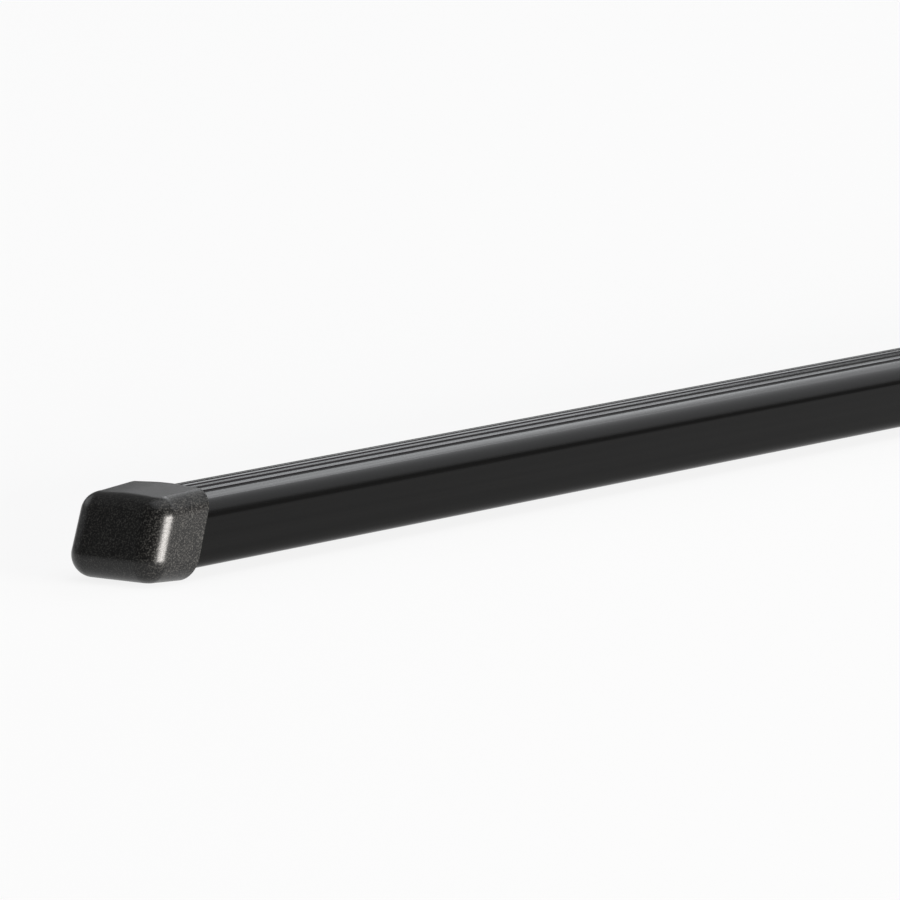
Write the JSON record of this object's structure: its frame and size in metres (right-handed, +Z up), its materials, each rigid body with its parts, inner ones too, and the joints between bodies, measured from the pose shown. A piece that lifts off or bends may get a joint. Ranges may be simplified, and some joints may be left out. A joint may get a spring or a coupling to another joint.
{
  "type": "roof rack crossbar",
  "caption": "Straight rectangular load bar with a ribbed, crowned top and slanted rounded end caps; feet and carriers clamp round it to hold loads on a car roof.",
  "frame": {"origin": "middle of the bar's length and width, at the level of the caps' lowest lips", "axes": "+X along the bar towards the right end cap, +Z up through the ribbed top, +Y across the bar to the back"},
  "size_m": [1.184, 0.035, 0.0266],
  "materials": {
    "tube_steel": "bare zinc-coated steel tube, hidden inside the sheath",
    "sheath_plastic": "black extruded vinyl with a satin gloss and faint lengthwise streaks",
    "cap_plastic": "black moulded plastic with a fine spark-eroded grain"
  },
  "bodies": {
    "root": {"core_tube": "tube_steel", "sheath": "sheath_plastic", "end_cap_left": "cap_plastic", "end_cap_right": "cap_plastic"}
  },
  "joints": []
}
